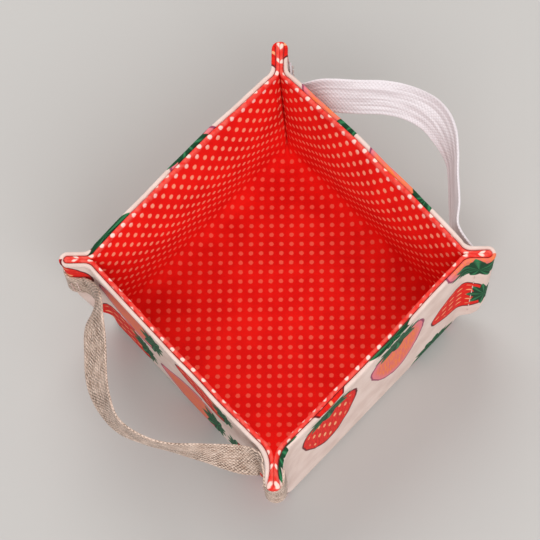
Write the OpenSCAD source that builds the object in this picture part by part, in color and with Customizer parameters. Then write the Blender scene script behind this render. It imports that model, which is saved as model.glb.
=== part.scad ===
// Soft square sewing basket with four pinched corner tabs and two webbing handles.
// Origin: centre of the base on the table. +Z up. The handles are on the -X and +X walls.

/* [Basket] */
// Length of each side of the rim, from corner to corner
rim_side = 150; // [140:1:160]
// Height of the rim above the table
wall_h = 80; // [76:1:84]
// Size of the base as a share of the size of the rim
base_share = 0.937; // [0.92:0.001:0.96]
// How much longer one diagonal is, and how much shorter the other, as a share
skew = 0.05; // [0.03:0.005:0.06]

/* [Layers] */
// Thickness of the printed outer cloth
outer_t = 1; // [0.8:0.1:1.2]
// Thickness of the wadding panels
wadding_t = 2; // [1.5:0.1:2.2]
// Thickness of the dotted lining
lining_t = 1; // [0.8:0.1:1.2]

/* [Corner tabs] */
// How far the back tab sticks out of its corner at the rim
back_tab_reach = 13.5; // [11:0.5:15]
// How far the left tab sticks out
left_tab_reach = 11; // [10:0.5:13]
// How far the front tab sticks out
front_tab_reach = 14; // [12:0.5:15]
// How far the right tab sticks out
right_tab_reach = 10.5; // [10:0.5:13]
// Thickness of a tab, with both of its folded walls
tab_t = 8; // [7:0.5:8]
// Length of one corner stitch
stitch_l = 3; // [2:0.5:4]

/* [Handles] */
// Width of the webbing
strap_w = 18; // [14:1:18]
// Thickness of the webbing
strap_t = 1.2; // [0.8:0.1:1.4]

/* [Hidden] */

// Colours of the materials
print_white = [0.90, 0.82, 0.80];
dotted_red = [0.86, 0.07, 0.03];
wadding_white = [0.93, 0.92, 0.89];
thread_white = [0.88, 0.80, 0.78];
thread_red = [0.55, 0.03, 0.03];
linen = [0.80, 0.76, 0.70];

// Corners are numbered anticlockwise from above
back_corner = 0;
left_corner = 1;
front_corner = 2;
right_corner = 3;

// Plan of the basket: a slightly skewed square
mean_half_diag = rim_side / sqrt(2 * (1 + skew * skew));
apothem = mean_half_diag * (1 - skew * skew) / sqrt(2 * (1 + skew * skew));

// Layers, as distances in from the outer face
layer_gap = 0.05;
wadding_in = outer_t + layer_gap;
lining_in = wadding_in + wadding_t + layer_gap;
wall_t = lining_in + lining_t;
groove_w = 0.4;
outer_turn_in = (wall_t - groove_w) / 2;
lining_turn_in = (wall_t + groove_w) / 2;
floor_z = wall_t;
above_rim = wall_h + 2;
wadding_top = wall_h - max(outer_t, lining_t) - layer_gap;

// Corner tabs, as [share of the reach, share of the height] down the outer edge.
// A tab's outer skin is the cloth with the wadding behind it.
tab_reach = [back_tab_reach, left_tab_reach, front_tab_reach, right_tab_reach];
tab_profile = [[1, 1], [0.95, 0.45], [0.75, 0.2], [0.1, 0.06]];
tab_skin = 2.4;
tab_fold_t = tab_t - 2 * tab_skin;
tab_fold_gap = 0.05;

// Threads
thread_d = 0.6;
seam_d = 0.3;
stitch_pitch = stitch_l * 2;
stitch_margin = 9;
touch = 0.02;
thread_rows_apart = 3;
thread_clearance = 0.1;

// Straps
strap_gap = 0.25;
strap_wrap_r = tab_t / 2 + strap_gap + strap_t / 2;
wrap_step = 30;
route_steps = 4;
hinge_setback = 2;
// The strap's turn round a tab is centred this far in from the tip, and it leaves the tab at its foot
strap_tip_in = 0.6;
strap_foot_out = 0.5;
strap_foot_rise = 1.4;
// How much of the left strap lies on the far face of its tabs
left_far_length = 6;
// Each swing axis runs along Y at this distance from the centre plane and this height
hinge_x = 87;
hinge_z = 67;

// Routes of the two straps between their tabs, each point as [x, y, z, lean in degrees].
// Lean is how far the strap's upper edge tips outwards. The first and last points are on the swing axis.
left_loop_route = [
    [-hinge_x, 46, hinge_z, -35], [-97, 34.5, 66, -44], [-107, 22.5, 66, -42], [-114, 9, 67, -26],
    [-117, -5, 67, -6], [-113, -20, 67, 4], [-106, -33, 67, 6], [-97, -46, 67, -10],
    [-hinge_x, -61, hinge_z, -32]
];
right_loop_route = [
    [hinge_x, 52.5, hinge_z, 48], [97, 40, 68, 64], [107, 28, 69, 66], [113.5, 16, 69, 66],
    [116, 3, 69, 58], [112.5, -10.5, 69, 40], [106, -21.5, 69, 22], [97, -31, 68, 16],
    [hinge_x, -41.5, hinge_z, 16]
];
// Height of each strap end on its tab
left_rear_z = 58;
left_front_z = 70;
right_rear_z = 58;
right_front_z = 65;
// The point between each sewn end and the swing axis
left_rear_mid = [-76.5, 57, 62, -8];
left_front_mid = [-82, -70, 70, -18];
right_rear_mid = [80.5, 63, 61, 10];
right_front_mid = [77.5, -51.5, 66, 8];

// Half the diagonal of the rim that runs through a corner
function half_diag(corner) = mean_half_diag * (1 + skew * (corner % 2 == 0 ? 1 : -1));

// Direction of a corner from the centre, in degrees from +X
function corner_angle(corner) = 45 + 90 * corner;

// Size of the plan at a height, as a share of the rim's size
function share_at(z) = base_share + (1 - base_share) * z / wall_h;

// Distance of a corner from the centre axis at a height
function corner_reach(corner, z) = share_at(z) * half_diag(corner);

// Corner point of the wall surface that lies a given distance in from the outer face
function corner_point(corner, inset, z) =
    let (reach = (share_at(z) - inset / apothem) * half_diag(corner))
    [reach * cos(corner_angle(corner)), reach * sin(corner_angle(corner)), z];

// A point beside a corner: out along the tab, across it to the left, and up
function tab_point(corner, out, across, z) =
    let (a = corner_angle(corner), u = corner_reach(corner, z) + out)
    [u * cos(a) - across * sin(a), u * sin(a) + across * cos(a), z];

// Catmull-Rom curve through four neighbouring values, at t from 0 to 1
function curve(p0, p1, p2, p3, t) =
    0.5 * (2 * p1 + (p2 - p0) * t + (2 * p0 - 5 * p1 + 4 * p2 - p3) * t * t
        + (3 * p1 - p0 - 3 * p2 + p3) * t * t * t);

// A smooth route through a list of points, with extra points between them
function smooth(points) =
    let (last = len(points) - 1)
    [
        for (i = [0:last - 1], step = [0:route_steps - 1])
            curve(
                points[max(i - 1, 0)], points[i], points[i + 1], points[min(i + 2, last)],
                step / route_steps
            ),
        points[last]
    ];

function last_of(points) = points[len(points) - 1];
function place(p) = [p[0], p[1], p[2]];
function unit(v) = v / norm(v);

// Direction of travel at one point of a route
function heading(route, i) =
    unit(place(route[min(i + 1, len(route) - 1)]) - place(route[max(i - 1, 0)]));

// Direction from a strap's lower edge to its upper edge. side is 1 where left of travel is outwards.
function strap_up(route, i, side) =
    let (
        along = heading(route, i),
        outwards = side * unit(cross([0, 0, 1], along)),
        leaning = outwards * sin(route[i][3]) + [0, 0, 1] * cos(route[i][3])
    )
    unit(leaning - along * (leaning * along));

// The four corner points of a strap's cross-section
function strap_ring(route, i, side) =
    let (
        up = strap_up(route, i, side) * strap_w / 2,
        through = unit(cross(heading(route, i), up)) * strap_t / 2,
        centre = place(route[i])
    )
    [centre - up - through, centre + up - through, centre + up + through, centre - up + through];

// A route with its ends pulled back by a given distance
function shortened(route, from_start, from_end) =
    let (last = len(route) - 1)
    [
        for (i = [0:last])
            i == 0 ? pulled(route[0], route[1], from_start)
            : i == last ? pulled(route[last], route[last - 1], from_end)
            : route[i]
    ];

function pulled(end, next, distance) =
    end + (next - end) * distance / norm(place(next) - place(end));

// A closed frustum between two heights, a given distance in from the outer face
module frustum(inset, z_low, z_high) {
    polyhedron(
        points = [for (z = [z_low, z_high], corner = [0:3]) corner_point(corner, inset, z)],
        faces = [
            [0, 1, 2, 3], [7, 6, 5, 4],
            for (i = [0:3]) [i, i + 4, (i + 1) % 4 + 4, (i + 1) % 4]
        ]
    );
}

// A flat plate along one corner tab. margin is how far its outline lies inside the tab's own.
module tab_plate(corner, thickness, margin, top) {
    edge = [
        for (p = tab_profile)
            [corner_reach(corner, p[1] * wall_h) + p[0] * tab_reach[corner] - margin, p[1] * wall_h]
    ];
    rim = edge[0];
    foot = last_of(edge);
    inner = corner_reach(corner, 0) - tab_t;
    outline = concat(
        [[inner, top], [rim[0], top]],
        edge,
        [[inner, foot[1] + margin]]
    );
    rotate([90, 0, corner_angle(corner)])
        linear_extrude(thickness, center = true)
            polygon(outline);
}

// The printed cotton: walls, base, the outside of the tabs and the turn at the rim
module outer_cloth() {
    color(print_white)
        difference() {
            union() {
                frustum(0, 0, wall_h);
                for (corner = [0:3])
                    tab_plate(corner, tab_t, 0, wall_h);
            }
            frustum(outer_t, outer_t, wall_h - outer_t);
            frustum(outer_turn_in, outer_t, above_rim);
            for (corner = [0:3])
                tab_plate(corner, tab_fold_t + 2 * tab_fold_gap, tab_skin, above_rim);
        }
}

// The dotted cotton: inner walls, floor, the fold inside the tabs and the turn at the rim
module lining() {
    color(dotted_red)
        difference() {
            union() {
                frustum(lining_in, lining_in, wall_h);
                frustum(lining_turn_in, wall_h - lining_t, wall_h);
                for (corner = [0:3])
                    tab_plate(corner, tab_fold_t, tab_skin + tab_fold_gap, wall_h);
            }
            frustum(wall_t, floor_z, above_rim);
        }
}

// The stiffening panel under the floor
module base_wadding() {
    color(wadding_white)
        frustum(wadding_in, wadding_in, wadding_in + wadding_t);
}

// One wall's stiffening panel, between two neighbouring corners and clear of their tabs
module wall_wadding(corner) {
    next = (corner + 1) % 4;
    end_share = 2 * tab_fold_t / rim_side;
    color(wadding_white)
        polyhedron(
            points = [
                for (z = [lining_in, wadding_top], inset = [wadding_in, wadding_in + wadding_t],
                    share = [end_share, 1 - end_share])
                    corner_point(corner, inset, z) * (1 - share) + corner_point(next, inset, z) * share
            ],
            faces = [[0, 1, 3, 2], [4, 6, 7, 5], [0, 4, 5, 1], [2, 3, 7, 6], [0, 2, 6, 4], [1, 5, 7, 3]]
        );
}

// A straight piece of thread between two points
module thread(start, end, diameter) {
    run = end - start;
    translate(start)
        rotate([0, acos(run[2] / norm(run)), atan2(run[1], run[0])])
            cylinder(h = norm(run), d = diameter, $fn = 16);
}

// The stitches along the foot of one tab, on both of its faces
module corner_stitches(corner) {
    side_gap = tab_t / 2 + thread_d / 2 + touch;
    color(thread_white)
        for (side = [-1, 1], z = [stitch_margin:stitch_pitch:wall_h - 2 * stitch_margin])
            thread(
                tab_point(corner, -1, side * side_gap, z),
                tab_point(corner, -1, side * side_gap, z + stitch_l),
                thread_d
            );
}

// The seam thread in the groove between the two turned edges
module rim_seam() {
    middle = wall_t / 2;
    z = wall_h - seam_d;
    end_share = tab_t / rim_side;
    color(thread_red)
        for (corner = [0:3]) {
            here = corner_point(corner, middle, z);
            next = corner_point((corner + 1) % 4, middle, z);
            inwards = (next - here) * end_share;
            thread(here + inwards, next - inwards, seam_d);
        }
}

// A flat strap along a route
module strap(route, side) {
    rings = [for (i = [0:len(route) - 1]) strap_ring(route, i, side)];
    last = 4 * (len(route) - 1);
    polyhedron(
        points = [for (ring = rings, p = ring) p],
        faces = [
            [0, 1, 2, 3], [last + 3, last + 2, last + 1, last],
            for (r = [0:4:last - 4], i = [0:3]) [r + i, r + i + 4, r + (i + 1) % 4 + 4],
            for (r = [0:4:last - 4], i = [0:3]) [r + i, r + (i + 1) % 4 + 4, r + (i + 1) % 4]
        ]
    );
}

// Where a strap lies on its tab: from past the tip, round it and along the near face to the foot.
// near is 1 where the near face is to the left of the tab. far_length is what lies on the far face.
function wrap_route(corner, near, z, far_length) =
    let (
        centre = tab_reach[corner] - strap_tip_in,
        turn = [for (a = [-90:wrap_step:90]) a]
    )
    [
        if (far_length > 0) concat(tab_point(corner, centre - far_length, -near * strap_wrap_r, z), 0),
        if (far_length == 0) concat(tab_point(corner, centre, near * strap_wrap_r, z), 0),
        if (far_length > 0)
            for (a = turn)
                concat(tab_point(corner, centre + strap_wrap_r * cos(a), near * strap_wrap_r * sin(a), z), 0),
        concat(tab_point(corner, centre / 2, near * (strap_wrap_r + strap_gap), z), 0),
        concat(tab_point(corner, strap_foot_out, near * (strap_wrap_r + strap_foot_rise), z), 0)
    ];

// A sewn strap end: on its tab, then out to the swing axis
module strap_end(corner, near, z, far_length, mid, axis_point, side) {
    route = smooth(concat(wrap_route(corner, near, z, far_length), [mid, axis_point]));
    color(linen)
        strap(shortened(route, 0, hinge_setback), side);
}

// The free part of a strap, which swings
module strap_loop(points, side) {
    color(linen)
        strap(shortened(smooth(points), hinge_setback, hinge_setback), side);
}

// Two stitches across a strap on the near face of its tab
module end_stitches(corner, near, z) {
    across = near * (strap_wrap_r + strap_gap + strap_t / 2 + thread_d / 2 + thread_clearance);
    color(thread_white)
        for (out = [tab_reach[corner] / 2, tab_reach[corner] / 2 + thread_rows_apart])
            thread(
                tab_point(corner, out, across, z - strap_w / 3),
                tab_point(corner, out, across, z + strap_w / 3),
                thread_d
            );
}

module back_wadding() { wall_wadding(back_corner); }
module left_wadding() { wall_wadding(left_corner); }
module front_wadding() { wall_wadding(front_corner); }
module right_wadding() { wall_wadding(right_corner); }
module back_corner_stitches() { corner_stitches(back_corner); }
module left_corner_stitches() { corner_stitches(left_corner); }
module front_corner_stitches() { corner_stitches(front_corner); }
module right_corner_stitches() { corner_stitches(right_corner); }

module left_handle() { strap_loop(left_loop_route, -1); }
module right_handle() { strap_loop(right_loop_route, 1); }

module left_handle_rear_end() {
    strap_end(left_corner, 1, left_rear_z, left_far_length, left_rear_mid, left_loop_route[0], -1);
}

module left_handle_front_end() {
    strap_end(front_corner, -1, left_front_z, left_far_length, left_front_mid, last_of(left_loop_route), 1);
}

module right_handle_rear_end() {
    strap_end(back_corner, -1, right_rear_z, 0, right_rear_mid, right_loop_route[0], 1);
}

module right_handle_front_end() {
    strap_end(right_corner, 1, right_front_z, 0, right_front_mid, last_of(right_loop_route), -1);
}

module handle_stitches() {
    end_stitches(left_corner, 1, left_rear_z);
    end_stitches(front_corner, -1, left_front_z);
    end_stitches(back_corner, -1, right_rear_z);
    end_stitches(right_corner, 1, right_front_z);
}

outer_cloth();
lining();
base_wadding();
back_wadding();
left_wadding();
front_wadding();
right_wadding();
back_corner_stitches();
left_corner_stitches();
front_corner_stitches();
right_corner_stitches();
rim_seam();
left_handle();
left_handle_rear_end();
left_handle_front_end();
right_handle();
right_handle_rear_end();
right_handle_front_end();
handle_stitches();
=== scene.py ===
import math

import bpy
import numpy as np
from mathutils import Matrix, Vector, noise


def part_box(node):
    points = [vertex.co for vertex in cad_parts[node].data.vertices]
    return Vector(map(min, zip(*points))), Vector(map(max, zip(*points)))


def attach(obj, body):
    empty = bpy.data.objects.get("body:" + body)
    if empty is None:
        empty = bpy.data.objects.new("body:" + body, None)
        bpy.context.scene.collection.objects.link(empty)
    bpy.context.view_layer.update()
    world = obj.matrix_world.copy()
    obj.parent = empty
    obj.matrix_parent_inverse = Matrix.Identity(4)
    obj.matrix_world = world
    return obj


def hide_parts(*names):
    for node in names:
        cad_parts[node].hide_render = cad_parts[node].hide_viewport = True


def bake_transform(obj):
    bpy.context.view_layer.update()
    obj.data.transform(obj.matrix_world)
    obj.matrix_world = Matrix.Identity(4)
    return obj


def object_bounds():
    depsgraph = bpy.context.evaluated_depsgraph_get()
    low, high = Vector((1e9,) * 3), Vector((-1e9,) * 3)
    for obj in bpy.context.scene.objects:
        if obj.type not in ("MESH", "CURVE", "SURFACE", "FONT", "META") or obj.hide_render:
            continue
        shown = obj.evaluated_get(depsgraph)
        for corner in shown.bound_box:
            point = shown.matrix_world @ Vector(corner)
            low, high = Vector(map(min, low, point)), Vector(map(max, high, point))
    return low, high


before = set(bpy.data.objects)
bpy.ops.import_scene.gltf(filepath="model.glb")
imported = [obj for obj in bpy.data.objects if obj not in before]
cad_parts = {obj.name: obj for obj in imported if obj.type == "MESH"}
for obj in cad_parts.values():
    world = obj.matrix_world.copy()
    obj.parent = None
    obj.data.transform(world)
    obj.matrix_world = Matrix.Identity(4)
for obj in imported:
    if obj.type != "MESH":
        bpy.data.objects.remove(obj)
CAD_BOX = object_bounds()

MM = 0.001

# ---------------------------------------------------------------- dimensions

# Corners are numbered anticlockwise from above, and wall i runs from corner i to the next one
BACK, LEFT, FRONT, RIGHT = range(4)
CORNER_NAMES = ("back", "left", "front", "right")

# The CAD's driving dimensions that its boxes don't give. Insets are distances in from the outer face.
SKEW = 0.05
BASE_SHARE = 0.937
TAB_T = 8 * MM
TAB_REACH = (13.5 * MM, 11 * MM, 14 * MM, 10.5 * MM)
WALL_T = 4.1 * MM
WADDING_IN = 1.05 * MM
WADDING_T = 2 * MM

# Plan and height of the basket, from the cloth's box, which reaches to the tip of the back tab
CLOTH_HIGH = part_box("outer_cloth")[1]
WALL_H = CLOTH_HIGH.z
LONG_HALF_DIAG = CLOTH_HIGH.y * math.sqrt(2) - TAB_T / 2 - TAB_REACH[BACK]
MEAN_HALF_DIAG = LONG_HALF_DIAG / (1 + SKEW)
HALF_DIAG = (LONG_HALF_DIAG, MEAN_HALF_DIAG * (1 - SKEW)) * 2
APOTHEM = MEAN_HALF_DIAG * (1 - SKEW ** 2) / math.sqrt(2 * (1 + SKEW ** 2))

# Soft shapes of the cloth, with one value for each corner or wall where they differ
CLOTH_T = 0.45 * MM
PINCH_GAP = 0.05 * MM
# A tab that reaches out less than this fades into the plain corner
TAB_FADE = 6 * MM
OUTER_FILLET = (3 * MM, 3 * MM, 8 * MM, 3 * MM)
INNER_FILLET = (2.5 * MM, 2.5 * MM, 6 * MM, 2.5 * MM)
OUTER_CORNER_ROUND = 8 * MM
INNER_CORNER_ROUND = 6 * MM
BASE_ROUND = 4 * MM
FLOOR_ROUND = 7 * MM
ROLL_R = 1.1 * MM
GROOVE_W = 0.4 * MM
GROOVE_DEPTH = 1 * MM
ROLL_IN = (WALL_T - GROOVE_W) / 2 - ROLL_R
# How far each wall bows out at the rim, and caves in below it
WALL_BOW = (2.2 * MM, 0.8 * MM, 0.8 * MM, 2.2 * MM)
WALL_CAVE = (7 * MM, 1 * MM, 1 * MM, 7 * MM)
# Over 1, the deepest part of a caved wall lies above its middle
CAVE_LIFT = 1.6
# Height and length of the uneven waves of the walls, the rim and the floor
WRINKLE, WRINKLE_LENGTH = 0.9 * MM, 28 * MM
RIM_WAVE, RIM_WAVE_LENGTHS = 0.5 * MM, (25 * MM, 7 * MM)
FLOOR_WAVE, FLOOR_WAVE_LENGTH = 0.5 * MM, 30 * MM

# How far the cloth is pushed out, up and to both sides at the tips of the tabs
PUFF_R = 9 * MM
LINING_PUFF = {
    BACK: (1.6 * MM, 0.9 * MM, 0.5 * MM),
    FRONT: (3.4 * MM, 1.8 * MM, 2.2 * MM),
    RIGHT: (0.5 * MM, 0.4 * MM, 0),
}
CLOTH_PUFF = {
    BACK: (0.3 * MM, -1.3 * MM, 0),
    FRONT: (0.4 * MM, -1.8 * MM, 0.2 * MM),
    RIGHT: (0, -0.4 * MM, 0),
}

# Each tab's lower edge, as (share of the height, share of the reach)
TAB_EDGE = {
    BACK: ((0, 0), (0.06, 0.1), (0.2, 0.7), (0.45, 0.95), (1, 1)),
    LEFT: ((0, 0), (0.1, 0.05), (0.25, 0.5), (0.5, 0.93), (1, 1)),
    FRONT: ((0, 0), (0.12, 0.05), (0.35, 0.35), (0.6, 0.68), (0.78, 0.94), (1, 1)),
    RIGHT: ((0, 0), (0.06, 0.15), (0.15, 0.8), (0.3, 0.97), (1, 1)),
}

# Columns of the shells from the middle of a wall to the tip of a tab, and rows up the walls
WALL_STEPS, FILLET_STEPS, FACE_STEPS, TIP_STEPS = 30, 7, 4, 5
HALF = WALL_STEPS + FILLET_STEPS + FACE_STEPS + TIP_STEPS
COLUMNS = 8 * HALF
WALL_ROWS = 24
RING_ROWS = 12
ROUND_ROWS = 6
ROLL_ROWS = 11

# Webbing
STRAP_W = 18 * MM
STRAP_T = 1.2 * MM
STRAP_GAP = 0.25 * MM
WRAP_R = TAB_T / 2 + STRAP_GAP + STRAP_T / 2
TIP_IN = TAB_T / 2
FOOT_OUT = 0.5 * MM
FOOT_RISE = 1.4 * MM
RING_SPACING = 1.5 * MM
# Where each strap end is sewn: height, the tab's face it lies on (1 to the left) and how much
# of it lies on the other face
STRAP_ENDS = {
    LEFT: (58 * MM, 1, 6 * MM),
    FRONT: (70 * MM, -1, 6 * MM),
    BACK: (58 * MM, -1, 0),
    RIGHT: (65 * MM, 1, 0),
}

# Threads
STITCH_L = 3 * MM
STITCH_PITCH = 6 * MM
STITCH_MARGIN = 9 * MM
STITCH_R = 0.3 * MM
STITCH_ROWS_APART = 3 * MM
SEAM_R = 0.25 * MM


# ---------------------------------------------------------------- plan of the basket

def lerp(a, b, share):
    return a + (b - a) * share


def smooth_step(x):
    x = min(max(x, 0), 1)
    return x * x * (3 - 2 * x)


def share_at(z):
    """Size of the plan at a height, as a share of the rim's size."""
    return BASE_SHARE + (1 - BASE_SHARE) * z / WALL_H


def tab_reach_at(corner, z):
    heights, shares = zip(*TAB_EDGE[corner])
    return TAB_REACH[corner] * float(np.interp(z / WALL_H, heights, shares))


def layer_size(inset, outer, inner):
    """A size that goes from one value at the outer face to another at the inner face."""
    return lerp(outer, inner, min(max(inset / WALL_T, 0), 1))


def bezier(start, control, end, steps):
    start, control, end = (np.array(p) for p in (start, control, end))
    t = np.asarray(steps)[:, None]
    return start * (1 - t) ** 2 + 2 * control * t * (1 - t) + end * t * t


def from_corner(corner, side, points):
    """Turns (out, across) points beside a corner into (x, y) points. side is 1 to its left."""
    a = math.radians(45 + 90 * corner)
    out, across = points[:, 0], points[:, 1] * side
    x = out * math.cos(a) - across * math.sin(a)
    y = out * math.sin(a) + across * math.cos(a)
    return np.stack([x, y], 1)


def swell(wall, share, z, x, y):
    """How far a wall stands out from its flat plane."""
    height = min(z / WALL_H, 1)
    ease = math.sin(math.pi * share)
    bow = WALL_BOW[wall] * math.sin(0.5 * math.pi * height)
    cave = WALL_CAVE[wall] * math.sin(math.pi * height ** CAVE_LIFT)
    wrinkle = WRINKLE * noise.noise(Vector((x, y, z * 0.7)) / WRINKLE_LENGTH)
    return ease * (bow + wrinkle * smooth_step(2 * height)) - math.sqrt(ease) * cave


def half_corner(corner, side, z, inset):
    """The layer's (x, y) outline from the middle of a wall to the tip of the tab beside it."""
    scale = share_at(z) - inset / APOTHEM
    own = scale * HALF_DIAG[corner]
    other = scale * HALF_DIAG[(corner + 1) % 4]
    length = math.hypot(own, other)
    half_t = max(TAB_T / 2 * (1 - inset / WALL_T), PINCH_GAP)
    fillet = layer_size(inset, OUTER_FILLET[corner], INNER_FILLET[corner])
    corner_round = layer_size(inset, OUTER_CORNER_ROUND, INNER_CORNER_ROUND)
    reach = tab_reach_at(corner, z)
    tabbed = smooth_step(reach / TAB_FADE)

    def on_wall(share):
        return np.array([own * (1 - share), other * share])

    # The tab: out of the wall in a fillet, along its flat face and round its tip
    foot = own * (1 - half_t / other)
    tip = share_at(z) * HALF_DIAG[corner] + reach - inset
    face_end = max(tip - half_t, foot)
    face_start = foot + min(fillet, 0.6 * (face_end - foot))
    fillet_end = half_t / other + fillet / length
    turn = np.linspace(math.pi / 2, 0, TIP_STEPS + 1)
    tab = np.concatenate([
        bezier(on_wall(fillet_end), (foot, half_t), (face_start, half_t),
               np.linspace(0, 1, FILLET_STEPS, endpoint=False)),
        np.stack([np.linspace(face_start, face_end, FACE_STEPS, endpoint=False),
                  np.full(FACE_STEPS, half_t)], 1),
        np.stack([face_end + (tip - face_end) * np.cos(turn), half_t * np.sin(turn)], 1),
    ])

    # The plain rounded corner that the tab fades into near the base
    round_end = corner_round / length
    mirrored = on_wall(round_end) * (1, -1)
    plain = bezier(on_wall(round_end), (own, 0), mirrored, np.linspace(0, 0.5, len(tab)))

    shares = np.linspace(0.5, lerp(round_end, fillet_end, tabbed), WALL_STEPS, endpoint=False)
    wall_points = np.array([on_wall(share) for share in shares])
    wall = corner if side > 0 else (corner - 1) % 4
    plan = from_corner(corner, side, wall_points)
    outward = from_corner(corner, side, np.array([[other, own]]))[0] / length
    for i, share in enumerate(shares):
        plan[i] += outward * swell(wall, share, z, *plan[i])
    return np.concatenate([plan, from_corner(corner, side, lerp(plain, tab, tabbed))])


def outline(z, inset):
    """The layer's closed outline, as four runs from tip to tip, one for each wall."""
    runs = []
    for corner in range(4):
        left_of_tab = half_corner(corner, 1, z, inset)
        right_of_next = half_corner((corner + 1) % 4, -1, z, inset)
        runs.append(np.concatenate([left_of_tab[::-1], right_of_next[1:]]))
    return runs


# ---------------------------------------------------------------- mesh helpers

def finish_piece(name, points, faces, material):
    mesh = bpy.data.meshes.new(name)
    mesh.from_pydata([tuple(p) for p in points], [], faces)
    mesh.materials.append(material)
    mesh.shade_smooth()
    mesh.update()
    piece = bpy.data.objects.new(name, mesh)
    bpy.context.scene.collection.objects.link(piece)
    return piece


def add_uv(piece, name, coordinates):
    """coordinates has one (u, v) for each corner of each face, in the faces' own order."""
    layer = piece.data.uv_layers.new(name=name)
    layer.data.foreach_set("uv", np.array(coordinates, np.float32).ravel())


def settle(piece, body, slot, *nodes):
    """Makes a finished piece move with a body and stand for its CAD nodes."""
    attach(piece, body)
    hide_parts(*nodes)


def rim_lift(x, y, z):
    """How far the cloth near the rim rises and dips."""
    long_wave, short_wave = (noise.noise(Vector((x, y, 0)) / length) for length in RIM_WAVE_LENGTHS)
    wave = RIM_WAVE * long_wave + 0.3 * RIM_WAVE * short_wave
    return wave * smooth_step((z - 0.6 * WALL_H) / (0.4 * WALL_H))


def floor_lift(x, y, z):
    """How far the cloth of the floor rises and dips. The underside, at height 0, stays flat."""
    if z <= BASE_ROUND / 2:
        return 0
    wave = FLOOR_WAVE * noise.noise(Vector((x, y, 0)) / FLOOR_WAVE_LENGTH)
    return wave * (1 - smooth_step((z - WALL_T) / (10 * MM)))


def tip_puff(x, y, z, puffs):
    """How far the turned edges are pushed out and up at the tip of the nearest tab."""
    moved = Vector((0, 0, 0))
    near_rim = smooth_step((z - WALL_H + 6 * MM) / (4 * MM))
    if not near_rim:
        return moved
    for corner, (out, up, aside) in puffs.items():
        from_tip = Vector((x, y, z)) - tab_point(corner, TAB_REACH[corner] - TAB_T / 4, 0, z)
        share = float(smooth_step(1 - from_tip.length / PUFF_R) * near_rim)
        left = tab_away(corner, 1)
        leftwards = from_tip.dot(left)
        offside = math.copysign(min(abs(leftwards) / (TAB_T / 4), 1), leftwards)
        moved += share * (out * tab_out(corner) + aside * offside * left + Vector((0, 0, up)))
    return moved


def flat_reaches(rows):
    """How far from the centre each row's walls lie when the cloth is laid out flat."""
    reaches = []
    for i, (ring, z, inset) in enumerate(rows):
        before_ring, before_z, before_inset = rows[i - 1]
        if i and ring == 1 and before_ring == 1:
            reaches.append(reaches[-1] + math.hypot(z - before_z, inset - before_inset))
        else:
            reaches.append(share_at(z) * APOTHEM - inset)
    return reaches


def flat_run(run, reach):
    """One wall's run of the outline, laid out flat at its distance from the centre."""
    along = run[HALF + 2] - run[HALF - 2]
    along = along / np.linalg.norm(along)
    away = np.array([along[1], -along[0]])
    steps = np.linalg.norm(np.diff(run, axis=0), axis=1)
    travel = np.concatenate([[0], np.cumsum(steps)])
    travel += run[HALF] @ along - travel[HALF]
    return away * reach + np.outer(travel, along)


def shell_faces(flat, centres):
    """Faces of a shell, with the place of each of their corners on the flat cloth.

    flat has, for each row and wall, the flat places of the run's points. centres gives, for each
    row that is closed with a fan, the number of the fan's middle point.
    """
    faces = []
    uv = []

    def add_face(row_steps, wall, middle=()):
        ring = [row * COLUMNS + (wall * 2 * HALF + i) % COLUMNS for row, i in row_steps]
        faces.append([*middle, *ring])
        uv.extend((0, 0) for _ in middle)
        uv.extend(flat[row][wall][i] for row, i in row_steps)

    for row in range(len(flat) - 1):
        for wall in range(4):
            for i in range(2 * HALF):
                add_face([(row, i), (row, i + 1), (row + 1, i + 1), (row + 1, i)], wall)
    for row, centre in centres.items():
        for wall in range(4):
            for i in range(2 * HALF):
                steps = [(row, i + 1), (row, i)] if row == 0 else [(row, i), (row, i + 1)]
                add_face(steps, wall, [centre])
    return faces, uv


def shell(name, rows, material, puffs):
    """Lofts a closed outline through rows of (ring share, height, inset).

    Also lays the cloth out flat, in millimetres from the centre of the base, in a UV map.
    """
    points = []
    flat = []
    for (ring, z, inset), reach in zip(rows, flat_reaches(rows)):
        runs = outline(z, inset)
        flat.append([flat_run(run, reach) * ring / MM for run in runs])
        for x, y in np.concatenate([run[:-1] for run in runs]) * ring:
            lift = floor_lift(x, y, z) + (rim_lift(x, y, z) if ring == 1 else 0)
            points.append(Vector((x, y, z + lift)) + tip_puff(x, y, z, puffs))
    centres = {}
    for row in (0, len(rows) - 1):
        if rows[row][0] < 1:
            centres[row] = len(points)
            points.append((0, 0, rows[row][1]))
    faces, uv = shell_faces(flat, centres)
    piece = finish_piece(name, points, faces, material)
    add_uv(piece, "flat", uv)
    return piece


def thicken(piece):
    """Gives the cloth its thickness, on the side that doesn't show."""
    solid = piece.modifiers.new("thickness", "SOLIDIFY")
    solid.thickness = CLOTH_T
    solid.offset = -1
    with bpy.context.temp_override(object=piece, active_object=piece):
        bpy.ops.object.modifier_apply(modifier=solid.name)


# ---------------------------------------------------------------- node graphs

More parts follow.
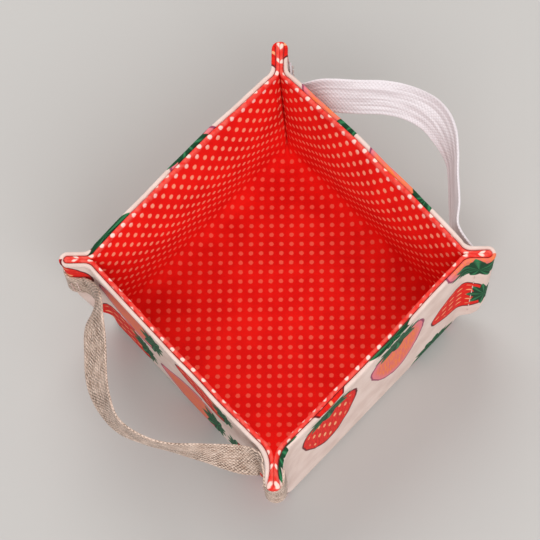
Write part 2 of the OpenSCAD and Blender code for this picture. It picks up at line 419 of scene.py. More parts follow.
class Graph:
    """The node tree of one material. An input may be a number, a colour or another node's output."""

    def __init__(self, name, roughness, sheen):
        self.material = bpy.data.materials.new(name)
        self.material.use_nodes = True
        self.tree = self.material.node_tree
        self.shader = self.tree.nodes["Principled BSDF"]
        self.shader.inputs["Roughness"].default_value = roughness
        self.shader.inputs["Sheen Weight"].default_value = sheen
        self.shader.inputs["Sheen Roughness"].default_value = 0.5
        self.shader.inputs["Specular IOR Level"].default_value = 0.15

    def feed(self, socket, value):
        if isinstance(value, bpy.types.NodeSocket):
            self.tree.links.new(value, socket)
        else:
            socket.default_value = value

    def node(self, kind, inputs, **settings):
        made = self.tree.nodes.new(kind)
        for key, value in settings.items():
            setattr(made, key, value)
        for key, value in inputs.items():
            self.feed(made.inputs[key], value)
        return made

    def math(self, operation, *values):
        inputs = dict(enumerate(values))
        return self.node("ShaderNodeMath", inputs, operation=operation).outputs[0]

    def add(self, a, b):
        return self.math("ADD", a, b)

    def subtract(self, a, b):
        return self.math("SUBTRACT", a, b)

    def multiply(self, a, b):
        return self.math("MULTIPLY", a, b)

    def length(self, x, y):
        return self.math("SQRT", self.add(self.multiply(x, x), self.multiply(y, y)))

    def fade(self, value, low, high, start=0.0, end=1.0):
        """Goes smoothly from start to end as value goes from low to high."""
        inputs = {"Value": value, "From Min": low, "From Max": high, "To Min": start, "To Max": end}
        return self.node("ShaderNodeMapRange", inputs, interpolation_type="SMOOTHSTEP").outputs[0]

    def mix(self, factor, a, b):
        node = self.node("ShaderNodeMix", {0: factor, 6: colour(a), 7: colour(b)}, data_type="RGBA")
        return node.outputs[2]

    def uv(self, name):
        vector = self.node("ShaderNodeUVMap", {}, uv_map=name).outputs[0]
        parts = self.node("ShaderNodeSeparateXYZ", {0: vector}).outputs
        return parts[0], parts[1]

    def place(self):
        """The point's place on its piece, in metres."""
        return self.node("ShaderNodeTexCoord", {}).outputs["Object"]

    def height(self):
        """Height above the base, in metres, which moves with the piece."""
        return self.node("ShaderNodeSeparateXYZ", {0: self.place()}).outputs[2]

    def vector(self, x, y, z=0.0):
        return self.node("ShaderNodeCombineXYZ", {0: x, 1: y, 2: z}).outputs[0]

    def noise(self, vector, scale, detail=2.0):
        inputs = {"Vector": vector, "Scale": scale, "Detail": detail}
        return self.node("ShaderNodeTexNoise", inputs).outputs[0]

    def cell(self, value, pitch):
        """Distance from the centre of the nearest cell of that pitch, with its sign."""
        share = self.math("FRACT", self.math("DIVIDE", value, pitch))
        return self.multiply(self.subtract(share, 0.5), pitch)

    def weave(self, x, y, pitch):
        """Height of a plain weave whose threads repeat at that pitch."""
        warp = self.math("SINE", self.multiply(x, 2 * math.pi / pitch))
        weft = self.math("SINE", self.multiply(y, 2 * math.pi / pitch))
        return self.multiply(warp, weft)

    def bump(self, height, distance):
        inputs = {"Height": height, "Distance": distance, "Strength": 0.6}
        self.feed(self.shader.inputs["Normal"], self.node("ShaderNodeBump", inputs).outputs[0])

    def paint(self, value):
        self.feed(self.shader.inputs["Base Color"], value)


def colour(value):
    return value if isinstance(value, bpy.types.NodeSocket) else (*value, 1.0)


# ---------------------------------------------------------------- materials

# Sizes in this section are in millimetres on the flat cloth, and colours are linear RGB.
# Where there are two colours, the cloth varies between them.

# The berries, in their own frame: the middle at (0, 0) and the leaves at +Y
RED, PINK = range(2)
# Distance in the motif map between the two kinds of berry
KIND_STEP = 200
BERRY_HALF_LENGTH = 23.0
BERRY_HALF_WIDTH = 19.0
BERRY_WIDENING = 6.0
SEED_PITCH, SEED_ROW_PITCH = 7.8, 7.0
SEED_HALF_WIDTH, SEED_HALF_LENGTH = 1.1, 2.5
LEAF_CENTRE_Y = 20.5
LEAF_SQUASH = 0.56
# Half of the angle between two leaves, in radians, and how fast a leaf narrows across it
LEAF_HALF_ANGLE = 0.35
LEAF_TAPER = 1.1
# A leaf's length, and how much longer the ones are that point down the berry
LEAF_REACH, LEAF_DROOP = 9.5, 2.5

BERRY_REDS = (0.66, 0.006, 0.004), (0.84, 0.020, 0.008)
BERRY_PINKS = (0.78, 0.16, 0.15), (0.88, 0.22, 0.06)
PINK_EDGE = (0.78, 0.20, 0.24)
SEED_YELLOW = (0.92, 0.42, 0.20)
LINE_COLOURS = (0.13, 0.006, 0.010), (0.30, 0.06, 0.12)
LEAF_GREENS = (0.03, 0.20, 0.08), (0.006, 0.055, 0.022)
PRINT_GROUNDS = (0.72, 0.55, 0.49), (0.82, 0.66, 0.60)

# The lining
DOT_PITCH = 5.5
DOT_EDGE = 0.85, 1.55
LINING_REDS = (0.74, 0.006, 0.004), (0.86, 0.011, 0.006)
# Painted highlight colour for the lining's turned edge
PAINTED_HIGHLIGHT_RED = (0.84, 0.17, 0.13)
# Dot colours by height: painted shade and red bounce light on the floor, the plain dot on the walls,
# painted light at the rim
DOT_IN_PAINTED_SHADE_ON_FLOOR = (0.88, 0.14, 0.085)
DOT_ON_WALL = (0.92, 0.36, 0.22)
DOT_IN_PAINTED_LIGHT_AT_RIM = (0.95, 0.68, 0.60)

# Pitch of the threads of the two cottons, and of the webbing's coarser yarn
COTTON_PITCH = 0.6
WEBBING_PITCH = 2.0
# Where the webbing's closer woven selvedge begins and is complete, from the middle of the strap
SELVEDGE = 7.2, 8.6

# The one webbing of both straps, painted darker, warmer and more speckled as painted shade and warm
# bounce light on the left strap
SHADED_WEBBING_LOOK = {
    "dark": (0.50, 0.34, 0.26),
    "pale": (0.87, 0.68, 0.57),
    "gap": (0.10, 0.06, 0.04),
    "openness": 0.95,
    "streaks": (1.2, 0.2),
    "selvedge": 0.25,
}
# The same webbing painted paler, as painted light on the right strap
LIT_WEBBING_LOOK = {
    "dark": (0.62, 0.54, 0.56),
    "pale": (0.84, 0.78, 0.81),
    "gap": (0.46, 0.39, 0.40),
    "openness": 0.25,
    "streaks": (0.6, 0.03),
    "selvedge": 0.7,
}


def draw_leaves(g, x, y):
    """How much of a point is a berry's leaves, and its place across the leaf."""
    down = g.subtract(LEAF_CENTRE_Y, y)
    aside = g.multiply(x, LEAF_SQUASH)
    angle = g.math("ARCTAN2", aside, down)
    across = g.math("PINGPONG", angle, LEAF_HALF_ANGLE)
    reach = g.add(LEAF_REACH, g.multiply(LEAF_DROOP, g.math("COSINE", angle)))
    edge = g.multiply(reach, g.subtract(1.0, g.multiply(across, LEAF_TAPER)))
    distance = g.subtract(g.length(aside, down), edge)
    return g.fade(distance, -0.25, 0.25, 1.0, 0.0), across


def draw_berry(g, x, y):
    """How far out a point of a berry is: 0 in the middle, 1 on the outline."""
    up = g.math("DIVIDE", y, BERRY_HALF_LENGTH)
    half_width = g.add(BERRY_HALF_WIDTH, g.multiply(up, BERRY_WIDENING))
    return g.length(g.math("DIVIDE", x, half_width), up)


def draw_seeds(g, x, y):
    """How much of a point is a seed, in staggered rows."""
    row = g.math("FLOOR", g.math("DIVIDE", y, SEED_ROW_PITCH))
    offset = g.multiply(g.math("PINGPONG", row, 1.0), SEED_PITCH / 2)
    seed_x = g.math("DIVIDE", g.cell(g.add(x, offset), SEED_PITCH), SEED_HALF_WIDTH)
    seed_y = g.math("DIVIDE", g.cell(y, SEED_ROW_PITCH), SEED_HALF_LENGTH)
    return g.fade(g.length(seed_x, seed_y), 0.7, 1.1, 1.0, 0.0)


def draw_body(g, x, y, kind, out):
    """Colour of a berry's body, with its brush strokes and seeds."""
    brush = g.noise(g.vector(g.multiply(x, 0.9), g.multiply(y, 0.12), kind), 1.0, 3.0)
    red = g.mix(g.fade(brush, 0.35, 0.7), *BERRY_REDS)
    seeds = g.multiply(draw_seeds(g, x, y), g.fade(out, 0.78, 0.88, 1.0, 0.0))
    red = g.mix(g.multiply(seeds, 0.9), red, SEED_YELLOW)
    pink = g.mix(g.fade(brush, 0.35, 0.65), *BERRY_PINKS)
    pink = g.mix(g.fade(out, 0.70, 0.95), pink, PINK_EDGE)
    return g.mix(kind, red, pink)


def cotton_bump(g, flat_x, flat_y, place):
    g.bump(g.add(g.weave(flat_x, flat_y, COTTON_PITCH), g.noise(place, 0.5, 3.0)), 0.05 * MM)


def printed_cotton():
    g = Graph("printed_cotton", roughness=0.85, sheen=0.05)
    flat_x, flat_y = g.uv("flat")
    u, y = g.uv("motif")
    kind = g.math("ROUND", g.math("DIVIDE", u, KIND_STEP))
    x = g.subtract(u, g.multiply(kind, KIND_STEP))
    place = g.vector(flat_x, flat_y)
    wobble = g.multiply(g.subtract(g.noise(place, 0.12), 0.5), 0.12)
    out = g.add(draw_berry(g, x, y), wobble)
    ground = g.mix(g.fade(g.noise(place, 0.08, 3.0), 0.3, 0.7), *PRINT_GROUNDS)
    inside = g.fade(out, 0.985, 1.02, 1.0, 0.0)
    painted = g.mix(inside, ground, draw_body(g, x, y, kind, out))
    outlined = g.fade(g.math("ABSOLUTE", g.subtract(out, 1.0)), 0.015, 0.045, 1.0, 0.0)
    painted = g.mix(outlined, painted, g.mix(kind, *LINE_COLOURS))
    leaves, across = draw_leaves(g, x, y)
    leaf = g.mix(g.fade(across, 0.0, 0.16), *LEAF_GREENS)
    g.paint(g.mix(leaves, painted, leaf))
    cotton_bump(g, flat_x, flat_y, place)
    return g.material


def dotted_cotton():
    g = Graph("dotted_cotton", roughness=0.85, sheen=0.0)
    flat_x, flat_y = g.uv("flat")
    place = g.vector(flat_x, flat_y)
    # The dots lie in rows at 45 degrees to the sides
    across = g.multiply(g.add(flat_x, flat_y), math.sqrt(0.5))
    along = g.multiply(g.subtract(flat_y, flat_x), math.sqrt(0.5))
    radius = g.length(g.cell(across, DOT_PITCH), g.cell(along, DOT_PITCH))
    uneven = g.multiply(g.subtract(g.noise(place, 0.9), 0.5), 0.7)
    dots = g.fade(g.add(radius, uneven), *DOT_EDGE, 1.0, 0.0)
    red = g.mix(g.fade(g.noise(place, 0.05, 3.0), 0.3, 0.7), *LINING_REDS)
    # The dots are painted darker and redder low down, as painted shade and red bounce light on the
    # floor, and paler at the rim, as painted light there
    height = g.height()
    dot = g.mix(g.fade(height, WALL_T, 0.55 * WALL_H), DOT_IN_PAINTED_SHADE_ON_FLOOR, DOT_ON_WALL)
    dot = g.mix(g.fade(height, WALL_H - 5 * ROLL_R, WALL_H - 2 * ROLL_R), dot, DOT_IN_PAINTED_LIGHT_AT_RIM)
    # Painted highlight: the turned edge is painted paler than the rest, in patches
    patchy = g.fade(g.noise(place, 0.35, 3.0), 0.2, 0.8)
    painted_highlight = g.multiply(g.fade(height, WALL_H - 2.5 * ROLL_R, WALL_H - ROLL_R), patchy)
    red = g.mix(g.multiply(painted_highlight, 0.75), red, PAINTED_HIGHLIGHT_RED)
    g.paint(g.mix(dots, red, dot))
    cotton_bump(g, flat_x, flat_y, place)
    return g.material


def webbing(name, dark, pale, gap, openness, streaks, selvedge):
    """A plain weave with gaps between its yarns.

    openness is how much the gaps show, streaks is how finely the yarns vary across and along
    the strap, and selvedge is how much closer woven and paler its two edges are.
    """
    g = Graph(name, roughness=0.9, sheen=0.15)
    across, along = g.uv("flat")
    place = g.vector(across, along)
    weave = g.weave(across, along, WEBBING_PITCH)
    streak_place = g.vector(g.multiply(across, streaks[0]), g.multiply(along, streaks[1]))
    slub = g.noise(streak_place, 1.0, 4.0)
    speckle = g.noise(place, 1.3, 2.0)
    open_weave = g.multiply(g.fade(g.noise(place, 0.12), 0.35, 0.65, 0.45, 1.0), openness)
    yarn = g.mix(g.fade(slub, 0.35, 0.65), dark, pale)
    # Half of the way round the strap is its width and its thickness
    from_middle = g.math("ABSOLUTE", g.cell(across, (STRAP_W + STRAP_T) / MM))
    closed = g.fade(from_middle, *SELVEDGE, 0.0, selvedge)
    yarn = g.mix(closed, yarn, pale)
    open_weave = g.multiply(open_weave, g.subtract(1.0, closed))
    uneven = g.multiply(g.subtract(speckle, 0.5), 4.0)
    gaps = g.fade(g.add(weave, uneven), -0.7, 0.7, 1.0, 0.0)
    g.paint(g.mix(g.multiply(gaps, open_weave), yarn, gap))
    g.bump(g.add(weave, g.multiply(slub, 0.8)), 0.2 * MM)
    return g.material


def thread_material(name, pale, dark):
    g = Graph(name, roughness=0.6, sheen=0.2)
    place = g.place()
    g.paint(g.mix(g.fade(g.noise(place, 900.0), 0.35, 0.65), dark, pale))
    g.bump(g.noise(place, 4000.0), 0.05 * MM)
    return g.material


def wadding_material():
    g = Graph("wadding", roughness=0.95, sheen=0.3)
    place = g.place()
    g.paint(g.mix(g.fade(g.noise(place, 120.0, 4.0), 0.3, 0.7), (0.78, 0.76, 0.71), (0.93, 0.92, 0.89)))
    g.bump(g.noise(place, 500.0, 5.0), 0.3 * MM)
    return g.material


# ---------------------------------------------------------------- the print

# Berries near the rim and on the front walls: place on the flat cloth in millimetres, direction
# that the leaves point in degrees from +X, kind and size
NEAR_BERRIES = (
    (-36, -119, -90, RED, 1), (15, -116, -90, PINK, 1), (60, -103, 2, RED, 0.8),
    (84, -50, -90, RED, 0.9), (-33, -168, -90, RED, 1), (13, -169, 90, RED, 1),
    (42, -52, -90, PINK, 1), (74, -154, 90, PINK, 1), (-70, -177, 90, RED, 1),
    (-125, 40, -85, PINK, 1), (-130, -18, -95, RED, 0.9), (-86, 52, -100, RED, 1),
    (-88, -3, -85, PINK, 1), (-129, 90, 90, RED, 1), (-80, -58, 95, RED, 1),
    (-57, 167, -90, RED, 1), (8, 167, -90, PINK, 1), (-22, 172, -90, PINK, 0.8),
    (143, 38, -90, PINK, 1), (143, -18, -90, PINK, 1), (92, 150, 90, RED, 1),
    (152, 94, 0, RED, 1),
)
# The other berries: their pitch, the least distance from those above, and how far they spread
BERRY_PITCH = 48
BERRY_SPACE = 44
FLAT_EDGE = 180
# The two front walls lie beyond this on the flat cloth
FRONT_EDGE = -60


def berry_list():
    """The berries of the whole cloth: those above, and staggered ones wherever there is room."""
    berries = list(NEAR_BERRIES)
    rows = range(-FLAT_EDGE, FLAT_EDGE + 1, BERRY_PITCH)
    for r, y in enumerate(rows):
        for c, x in enumerate(rows):
            place = (x + BERRY_PITCH // 2 * (r % 2), y)
            roomy = all(math.dist(place, other[:2]) > BERRY_SPACE for other in NEAR_BERRIES)
            if roomy and min(place) > FRONT_EDGE:
                turn = 25 * ((r * 2 + c) % 3 - 1)
                berries.append((*place, -90 + turn, (r + c) % 2, 1))
    return berries


def add_motif_map(piece, uv):
    """Gives each face its place in the nearest berry's own frame, where the leaves are at +Y."""
    berries = berry_list()
    centres = np.array([berry[:2] for berry in berries], float)
    coordinates = []
    loop = 0
    for face in piece.data.polygons:
        corners = np.array(uv[loop:loop + face.loop_total])
        loop += face.loop_total
        nearest = int(np.argmin(np.linalg.norm(centres - corners.mean(0), axis=1)))
        x, y, angle, kind, size = berries[nearest]
        up = np.array([math.cos(math.radians(angle)), math.sin(math.radians(angle))])
        right = np.array([up[1], -up[0]])
        local = (corners - (x, y)) / size
        coordinates += [(p @ right + kind * KIND_STEP, p @ up) for p in local]
    add_uv(piece, "motif", coordinates)


# ---------------------------------------------------------------- cloth and wadding

def roll_rows(centre_in, towards):
    """Rows over the turned edge at the rim. towards is 1 where the turn goes inwards."""
    centre_z = WALL_H - ROLL_R
    rows = []
    for a in np.radians(np.linspace(-40, 180, ROLL_ROWS)):
        rows.append((1, centre_z + ROLL_R * math.sin(a), centre_in - towards * ROLL_R * math.cos(a)))
    return rows + [(1, centre_z - GROOVE_DEPTH, rows[-1][2])]


def shell_rows(bottom, inset, corner_r, roll_centre, towards):
    """Rows of one cloth: across the base, round its edge, up the walls and over the rim."""
    rings = np.linspace(0.08, 1, RING_ROWS, endpoint=False)
    rows = [(ring, bottom, inset + corner_r) for ring in rings]
    for a in np.linspace(0, math.pi / 2, ROUND_ROWS + 1):
        z = bottom + corner_r * (1 - math.cos(a))
        rows.append((1, z, inset + corner_r * (1 - math.sin(a))))
    low = bottom + corner_r
    high = WALL_H - 3 * ROLL_R
    rows += [(1, z, inset) for z in np.linspace(low, high, WALL_ROWS + 1)[1:]]
    return rows + roll_rows(roll_centre, towards)


def make_outer_cloth(material):
    rows = shell_rows(0, 0, BASE_ROUND, ROLL_IN, 1)
    piece = shell("outer_cloth_shell", rows, material, CLOTH_PUFF)
    flat = np.zeros(len(piece.data.loops) * 2, np.float32)
    piece.data.uv_layers["flat"].data.foreach_get("uv", flat)
    add_motif_map(piece, flat.reshape(-1, 2))
    thicken(piece)
    settle(piece, "basket", "printed_cotton", "outer_cloth")
    return piece


def make_lining(material):
    rows = shell_rows(WALL_T, WALL_T, FLOOR_ROUND, WALL_T - ROLL_IN, -1)
    piece = shell("lining_shell", rows, material, LINING_PUFF)
    piece.data.flip_normals()
    thicken(piece)
    settle(piece, "basket", "dotted_cotton", "lining")
    return piece


def make_base_wadding(material):
    low, high = WADDING_IN, WADDING_IN + WADDING_T
    rings = np.linspace(0.1, 1, 8)[:-1]
    rows = [(ring, low, FLOOR_ROUND) for ring in rings]
    rows.append((1, low, FLOOR_ROUND - MM))
    rows.append((1, (low + high) / 2, FLOOR_ROUND - 2 * MM))
    rows.append((1, high, FLOOR_ROUND - MM))
    rows += [(ring, high, FLOOR_ROUND) for ring in rings[::-1]]
    piece = shell("base_wadding_pad", rows, material, {})
    settle(piece, "basket", "wadding", "base_wadding")
    return piece


def wall_point(wall, share, z, inset):
    """A point of one wall, at a share of the way from its first corner to its second."""
    scale = share_at(z) - inset / APOTHEM
    own, other = scale * HALF_DIAG[wall], scale * HALF_DIAG[(wall + 1) % 4]
    x, y = from_corner(wall, 1, np.array([[own * (1 - share), other * share]]))[0]
    out_x, out_y = from_corner(wall, 1, np.array([[other, own]]))[0] / math.hypot(own, other)
    stand = swell(wall, share, z, x, y)
    return (x + out_x * stand, y + out_y * stand, z)


def make_wall_wadding(wall, name, material):
    """A quilted panel between the two cloths of one wall."""
    shares = np.linspace(0.1, 0.9, 25)
    heights = np.linspace(FLOOR_ROUND, WALL_H - 4 * ROLL_R, 15)
    i_end, j_end = len(shares) - 1, len(heights) - 1
    middle = WADDING_IN + WADDING_T / 2
    points = []
    for face in (-1, 1):
        for i, share in enumerate(shares):
            for j, z in enumerate(heights):
                on_edge = i in (0, i_end) or j in (0, j_end)
                half = WADDING_T / 2 * (0.35 if on_edge else 0.85)
                points.append(wall_point(wall, share, z, middle + face * half))

    def at(face, i, j):
        return (face * len(shares) + i) * len(heights) + j

    def quad(*corners):
        faces.append([at(*corner) for corner in corners])

    faces = []
    for i in range(i_end):
        for j in range(j_end):
            quad((0, i, j), (0, i, j + 1), (0, i + 1, j + 1), (0, i + 1, j))
            quad((1, i, j), (1, i + 1, j), (1, i + 1, j + 1), (1, i, j + 1))
    for i in range(i_end):
        quad((0, i, 0), (0, i + 1, 0), (1, i + 1, 0), (1, i, 0))
        quad((0, i + 1, j_end), (0, i, j_end), (1, i, j_end), (1, i + 1, j_end))
    for j in range(j_end):
        quad((0, 0, j + 1), (0, 0, j), (1, 0, j), (1, 0, j + 1))
        quad((0, i_end, j), (0, i_end, j + 1), (1, i_end, j + 1), (1, i_end, j))
    piece = finish_piece(name + "_wadding_pad", points, faces, material)
    settle(piece, "basket", "wadding", name + "_wadding")
    return piece


# ---------------------------------------------------------------- threads

def tube(points, radius, sides=7):
    """Points and faces of a closed tube along a line."""
    line = [Vector(p) for p in points]
    ring_points = []
    for i, p in enumerate(line):
        along = (line[min(i + 1, len(line) - 1)] - line[max(i - 1, 0)]).normalized()
        upright = abs(along.z) > 0.9
        side = (along.orthogonal() if upright else along.cross((0, 0, 1))).normalized()
        up = side.cross(along)
        for k in range(sides):
            a = 2 * math.pi * k / sides
            ring_points.append(p + radius * (side * math.cos(a) + up * math.sin(a)))
    faces = []
    for i in range(len(line) - 1):
        for k in range(sides):
            here, there = i * sides, (i + 1) * sides
            faces.append((here + k, here + (k + 1) % sides, there + (k + 1) % sides, there + k))
    last = (len(line) - 1) * sides
    faces.append(tuple(reversed(range(sides))))
    faces.append(tuple(last + k for k in range(sides)))
    return ring_points, faces


def merge(parts):
    points, faces = [], []
    for part_points, part_faces in parts:
        start = len(points)
        points += part_points
        faces += [tuple(start + i for i in face) for face in part_faces]
    return points, faces


def stitch(start, end, away):
    """One stitch that comes out of the cloth, lies on it and goes back in."""
    start, end, away = Vector(start), Vector(end), Vector(away)
    line = []
    for share in np.linspace(0, 1, 7):
        height = 2.4 * STITCH_R * math.sin(math.pi * share) ** 0.6 - 1.2 * STITCH_R
        line.append(start.lerp(end, share) + away * height)
    return tube(line, STITCH_R)


def tab_point(corner, out, across, z):
    """A point beside a corner: out along the tab, across it to the left, and up."""
    reach = share_at(z) * HALF_DIAG[corner] + out
    x, y = from_corner(corner, 1, np.array([[reach, across]]))[0]
    return Vector((x, y, z))


def tab_out(corner):
    x, y = from_corner(corner, 1, np.array([[1.0, 0.0]]))[0]
    return Vector((x, y, 0))


def tab_away(corner, side):
    """Direction away from a tab's left or right face."""
    x, y = from_corner(corner, 1, np.array([[0.0, side]]))[0]
    return Vector((x, y, 0))


def make_corner_stitches(corner, name, material):
    """A row of stitches up each face of a tab, where the tab stands out of its corner."""
    parts = []
    for side in (-1, 1):
        z = STITCH_MARGIN
        while z < WALL_H - 2 * STITCH_MARGIN:
            reach = tab_reach_at(corner, z)
            out = min(1.5 * MM, reach - TAB_T / 2 - MM)
            start = tab_point(corner, out, side * TAB_T / 2, z)
            end = tab_point(corner, out, side * TAB_T / 2, z + STITCH_L)
            if reach > TAB_FADE:
                parts.append(stitch(start, end, tab_away(corner, side)))
            z += STITCH_PITCH
    piece = finish_piece(name + "_corner_thread", *merge(parts), material)
    settle(piece, "basket", "thread", name + "_corner_stitches")


def make_rim_seam(material):
    """The thread that lies in the groove between the two turned edges."""
    z = WALL_H - 1.2 * ROLL_R
    parts = []
    for run in outline(z, WALL_T / 2):
        line = [(x, y, z + rim_lift(x, y, z)) for x, y in run]
        parts.append(tube(line, SEAM_R, sides=6))
    piece = finish_piece("rim_seam_thread", *merge(parts), material)
    settle(piece, "basket", "seam_thread", "rim_seam")


# ---------------------------------------------------------------- webbing handles

# Routes of the two free straps, from (x, y, z) in millimetres and how far the upper edge
# leans outwards in degrees. They run from the rear tab to the front one.
LEFT_ROUTE = (
    (-76.5, 57, 62, -8), (-87, 46, 67, -35), (-97, 34.5, 66, -44), (-107, 22.5, 66, -42),
    (-114, 9, 67, -26), (-117, -5, 67, -6), (-113, -20, 67, 4), (-106, -33, 67, 6),
    (-97, -46, 67, -10), (-87, -61, 67, -32), (-82, -70, 70, -18),
)
RIGHT_ROUTE = (
    (80.5, 63, 61, 10), (87, 52.5, 67, 48), (97, 40, 68, 64), (107, 28, 69, 66),
    (113.5, 16, 69, 66), (116, 3, 69, 58), (112.5, -10.5, 69, 40), (106, -21.5, 69, 22),
    (97, -31, 68, 16), (87, -41.5, 67, 16), (77.5, -51.5, 66, 8),
)

# Half of the webbing's section, as (share of the half width, share of the half thickness):
# flat, with a slightly thicker woven edge on each side
SECTION = (
    (-1, 0.45), (-0.975, 0.9), (-0.92, 1.08), (-0.85, 0.95), (-0.55, 0.9), (0, 0.88),
    (0.55, 0.9), (0.85, 0.95), (0.92, 1.08), (0.975, 0.9), (1, 0.45),
)


def catmull_rom(p0, p1, p2, p3, t):
    return 0.5 * (2 * p1 + (p2 - p0) * t + (2 * p0 - 5 * p1 + 4 * p2 - p3) * t ** 2
                  + (3 * p1 - p0 - 3 * p2 + p3) * t ** 3)


def smooth_route(points):
    """Evenly close points along a smooth curve, and where each given point is among them."""
    points = [np.array(p, float) for p in points]
    route = []
    marks = []
    for i in range(len(points) - 1):
        marks.append(len(route))
        steps = max(2, round(np.linalg.norm(points[i + 1][:3] - points[i][:3]) / RING_SPACING))
        near = points[max(i - 1, 0)], points[i], points[i + 1], points[min(i + 2, len(points) - 1)]
        route += [catmull_rom(*near, step / steps) for step in range(steps)]
    marks.append(len(route))
    return route + [points[-1]], marks


def wrap_route(corner):
    """The strap end on a tab, from its cut end to the foot of the tab."""
    z, near, far_length = STRAP_ENDS[corner]
    centre = TAB_REACH[corner] - TIP_IN
    points = []
    if far_length:
        points.append((centre - far_length, -near * WRAP_R))
        for a in np.radians(range(-90, 91, 30)):
            points.append((centre + WRAP_R * math.cos(a), near * WRAP_R * math.sin(a)))
    else:
        points.append((centre, near * WRAP_R))
    points.append((centre / 2, near * (WRAP_R + STRAP_GAP)))
    points.append((FOOT_OUT, near * (WRAP_R + FOOT_RISE)))
    return [(*tab_point(corner, out, across, z), 0) for out, across in points]


def strap_ring(places, lean, i, section, side):
    """The section of a strap, set across its route at one place."""
    along = (places[min(i + 1, len(places) - 1)] - places[max(i - 1, 0)]).normalized()
    outwards = side * Vector((0, 0, 1)).cross(along).normalized()
    lean = math.radians(lean) + 0.05 * noise.noise(places[i] / (20 * MM))
    up = outwards * math.sin(lean) + Vector((0, 0, math.cos(lean)))
    up = (up - along * up.dot(along)).normalized()
    through = along.cross(up)
    edge = 1 + 0.012 * noise.noise(places[i] / (6 * MM))
    return [places[i] + up * (w * edge) + through * t for w, t in section]


def strap_mesh(name, route, first, last, side, material):
    """One piece of webbing, between two places of a route.

    side is 1 where the left of the direction of travel is outwards.
    """
    places = [Vector(p[:3]) for p in route]
    section = [(w * STRAP_W / 2, t * STRAP_T / 2) for w, t in SECTION]
    section += [(w, -t) for w, t in reversed(section)]
    sides = len(section)
    steps = [math.dist(section[k], section[(k + 1) % sides]) for k in range(sides)]
    around = np.cumsum([0] + steps) / MM
    points = []
    travel = []
    gone = 0
    for i in range(first, last + 1):
        gone += (places[i] - places[i - 1]).length if i > first else 0
        travel.append(gone / MM)
        points += strap_ring(places, route[i][3], i, section, side)
    faces = []
    uv = []
    for i in range(last - first):
        for k in range(sides):
            following = (k + 1) % sides
            here, there = i * sides, (i + 1) * sides
            faces.append((here + k, there + k, there + following, here + following))
            for ring, corner in ((i, k), (i + 1, k), (i + 1, k + 1), (i, k + 1)):
                uv.append((around[corner], travel[ring]))
    end = (last - first) * sides
    faces.append(tuple(range(sides)))
    faces.append(tuple(reversed(range(end, end + sides))))
    for face in faces[-2:]:
        uv += [(section[i % sides][0] / MM, section[i % sides][1] / MM) for i in face]
    piece = finish_piece(name, points, faces, material)
    add_uv(piece, "flat", uv)
    return piece


def make_handle(name, side, rear_corner, front_corner, loop, material):
    """One handle: a sewn end on each of its two tabs and the free strap between them."""
    rear_wrap, front_wrap = wrap_route(rear_corner), wrap_route(front_corner)
    middle = [(x * MM, y * MM, z * MM, lean) for x, y, z, lean in loop]
    route, marks = smooth_route(rear_wrap + middle + front_wrap[::-1])
    rear_foot = marks[len(rear_wrap) - 1]
    front_foot = marks[len(rear_wrap) + len(middle)]
    rear = strap_mesh(name + "_rear_wrap", route, 0, rear_foot, side, material)
    front = strap_mesh(name + "_front_wrap", route, front_foot, len(route) - 1, side, material)
    free = strap_mesh(name + "_strap", route, rear_foot, front_foot, side, material)
    settle(rear, "basket", "webbing", name + "_rear_end")
    settle(front, "basket", "webbing", name + "_front_end")
    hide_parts(name)
    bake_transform(free)


def make_handle_stitches(material):
    """Two rows of stitches across each strap end, on the near face of its tab."""
    parts = []
    for corner, (z, near, _) in STRAP_ENDS.items():
        away = tab_away(corner, near)
        across = near * (WRAP_R + STRAP_GAP + STRAP_T / 2)
        for out in (TAB_REACH[corner] / 2, TAB_REACH[corner] / 2 + STITCH_ROWS_APART):
            low = z - STRAP_W / 3
            while low < z + STRAP_W / 3 - STITCH_L / 2:
                start = tab_point(corner, out, across, low)
                end = tab_point(corner, out, across, low + 0.8 * STITCH_L)
                parts.append(stitch(start, end, away))
                low += 1.2 * STITCH_L
    piece = finish_piece("handle_end_thread", *merge(parts), material)
    settle(piece, "basket", "thread", "handle_stitches")


# ---------------------------------------------------------------- floor, light and camera

FLOOR_SIZE = 6
# Azimuth, elevation and roll in degrees. The camera looks at the middle of the CAD box, shifted.
CAMERA_ANGLES = -35.81, 65.86, -9.196
CAMERA_SHIFT = Vector((0.3, 12.5, -0.3)) * MM
CAMERA_DISTANCE = 1.3135
CAMERA_LENS = 166.67


def make_floor():
    bpy.ops.mesh.primitive_plane_add(size=FLOOR_SIZE)
    floor = bpy.context.object
    floor.name = "floor"
    g = Graph("floor", roughness=0.7, sheen=0.0)
    place = g.place()
    g.paint(g.mix(g.noise(place, 3.0), (0.50, 0.49, 0.475), (0.54, 0.53, 0.515)))
    floor.data.materials.append(g.material)


def add_area_light(name, place, size, power, tint):
    """A round soft light that points at the middle of the basket."""
    data = bpy.data.lights.new(name, "AREA")
    data.shape = "DISK"
    data.size = size
    data.energy = power
    data.color = tint
    light = bpy.data.objects.new(name, data)
    light.location = place
    towards = Vector((0, 0, WALL_H / 2)) - Vector(place)
    light.rotation_euler = towards.to_track_quat("-Z", "Y").to_euler()
    bpy.context.scene.collection.objects.link(light)


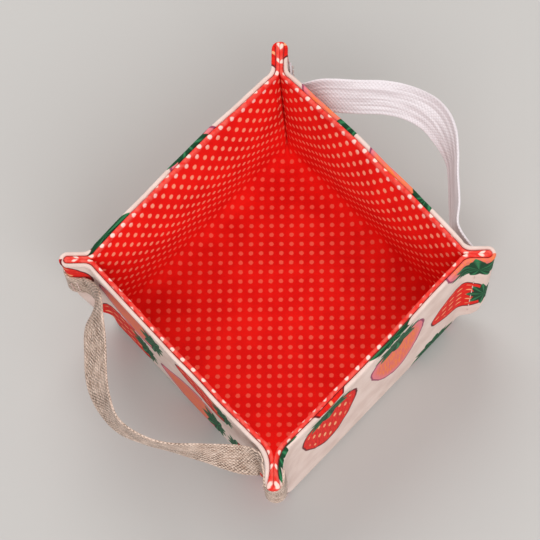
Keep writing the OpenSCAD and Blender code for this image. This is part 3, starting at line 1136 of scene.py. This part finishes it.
def make_light():
    add_area_light("window", (0.55, 0.85, 1.1), 1.2, 12, (1.0, 0.98, 0.96))
    add_area_light("front_light", (-0.6, -1.05, 1.05), 1.3, 16.5, (1.0, 1.0, 1.0))
    world = bpy.data.worlds.new("studio")
    world.use_nodes = True
    background = world.node_tree.nodes["Background"]
    background.inputs["Color"].default_value = (1.0, 0.98, 0.97, 1.0)
    background.inputs["Strength"].default_value = 0.5
    bpy.context.scene.world = world
    bpy.context.scene.view_settings.view_transform = "Standard"


def make_camera():
    azimuth, elevation, roll = (math.radians(a) for a in CAMERA_ANGLES)
    low, high = CAD_BOX
    target = (Vector(low) + Vector(high)) / 2 + CAMERA_SHIFT
    across = math.cos(elevation)
    back = Vector((math.sin(azimuth) * across, -math.cos(azimuth) * across, math.sin(elevation)))
    right = Vector((0, 0, 1)).cross(back).normalized()
    up = back.cross(right)
    turned_right = math.cos(roll) * right + math.sin(roll) * up
    turned_up = math.cos(roll) * up - math.sin(roll) * right
    data = bpy.data.cameras.new("camera")
    data.lens = CAMERA_LENS
    data.sensor_width = 36
    data.clip_end = 20
    camera = bpy.data.objects.new("camera", data)
    axes = Matrix((turned_right, turned_up, back)).transposed().to_4x4()
    camera.matrix_world = Matrix.Translation(target + back * CAMERA_DISTANCE) @ axes
    bpy.context.scene.collection.objects.link(camera)
    bpy.context.scene.camera = camera


# ---------------------------------------------------------------- the whole scene

def build():
    thread = thread_material("thread", (0.80, 0.62, 0.57), (0.60, 0.42, 0.38))
    seam_thread = thread_material("seam_thread", (0.42, 0.02, 0.02), (0.22, 0.01, 0.01))
    wadding = wadding_material()
    pads = [make_base_wadding(wadding)]
    pads += [make_wall_wadding(wall, name, wadding) for wall, name in enumerate(CORNER_NAMES)]
    outer = make_outer_cloth(printed_cotton())
    lining = make_lining(dotted_cotton())
    for corner, name in enumerate(CORNER_NAMES):
        make_corner_stitches(corner, name, thread)
    make_rim_seam(seam_thread)
    # One webbing in two painted copies: painted shade on the left handle, painted light on the right
    # one
    shaded_webbing = webbing("left_webbing_painted_shade", **SHADED_WEBBING_LOOK)
    lit_webbing = webbing("right_webbing_painted_light", **LIT_WEBBING_LOOK)
    make_handle("left_handle", -1, LEFT, FRONT, LEFT_ROUTE, shaded_webbing)
    make_handle("right_handle", 1, BACK, RIGHT, RIGHT_ROUTE, lit_webbing)
    make_handle_stitches(thread)


build()
make_floor()
make_light()
make_camera()
